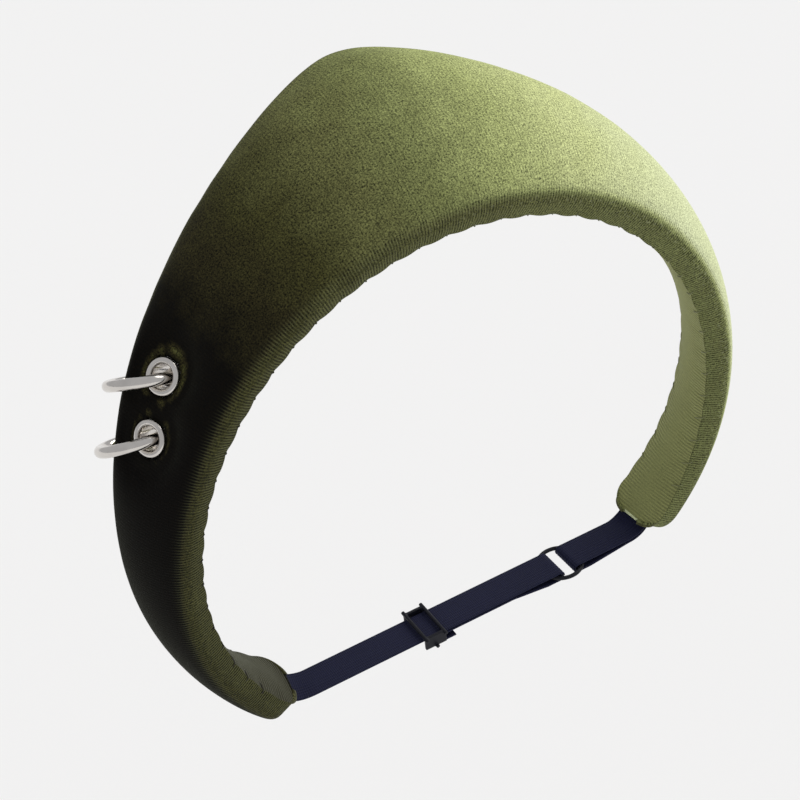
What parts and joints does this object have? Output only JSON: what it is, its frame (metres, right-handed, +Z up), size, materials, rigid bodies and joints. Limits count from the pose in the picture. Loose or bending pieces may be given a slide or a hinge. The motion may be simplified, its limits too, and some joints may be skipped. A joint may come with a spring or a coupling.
{
  "type": "padded headband",
  "caption": "Wide padded velvet headband with a peaked crown, piercing rings through eyelets on one side and an adjustable elastic strap at the nape.",
  "frame": {"origin": "centre of the ellipse that the band's front edge follows, in the plane of that edge: the middle of the wearer's head", "axes": "+Z up through the crown of the band, +Y to the back of the head, +X to the wearer's left"},
  "size_m": [0.1818, 0.0562, 0.1611],
  "materials": {
    "velvet": "short pile with a bright sheen at grazing angles",
    "lining_cloth": "smooth woven, matt",
    "base_plastic": "smooth",
    "foam": "soft open foam",
    "polished_steel": "polished",
    "elastic": "ribbed elastic tape, matt",
    "black_plastic": "semi-gloss",
    "thread": "sewing thread"
  },
  "bodies": {
    "band": {"velvet_cover": "velvet", "lining": "lining_cloth", "base_band": "base_plastic", "outer_foam": "foam", "inner_foam": "foam", "seam_thread_front": "thread", "seam_thread_back": "thread", "eyelet_upper": "polished_steel", "washer_upper": "polished_steel", "eyelet_lower": "polished_steel", "washer_lower": "polished_steel", "strap_main": "elastic", "strap_return": "elastic", "strap_loop": "elastic", "strap_tack_right": "thread", "strap_tack_left": "thread"},
    "ring_upper": {"ring_upper": "polished_steel"},
    "ring_lower": {"ring_lower": "polished_steel"},
    "slider": {"slider": "black_plastic"},
    "strap_ring": {"strap_ring": "black_plastic"}
  },
  "joints": [
    {"name": "ring_upper_swing", "type": "hinge", "parent": "band", "child": "ring_upper", "pos_m": [-0.06747, 0.01727, 0.0552], "axis": [-0.702, -0.4021, 0.5877], "range_deg": [-45, 5]},
    {"name": "ring_lower_swing", "type": "hinge", "parent": "band", "child": "ring_lower", "pos_m": [-0.07441, 0.0141, 0.04275], "axis": [-0.7915, -0.3959, 0.4655], "range_deg": [-30, 5]},
    {"name": "slider_slide", "type": "slide", "parent": "band", "child": "slider", "axis": [1, 0, 0], "range_m": [-0.027, 0.025], "deforming": ["strap_return"]},
    {"name": "strap_ring_turn", "type": "hinge", "parent": "band", "child": "strap_ring", "pos_m": [0.031, 0.0085, -0.05244], "axis": [0, 0, 1], "continuous": true}
  ]
}
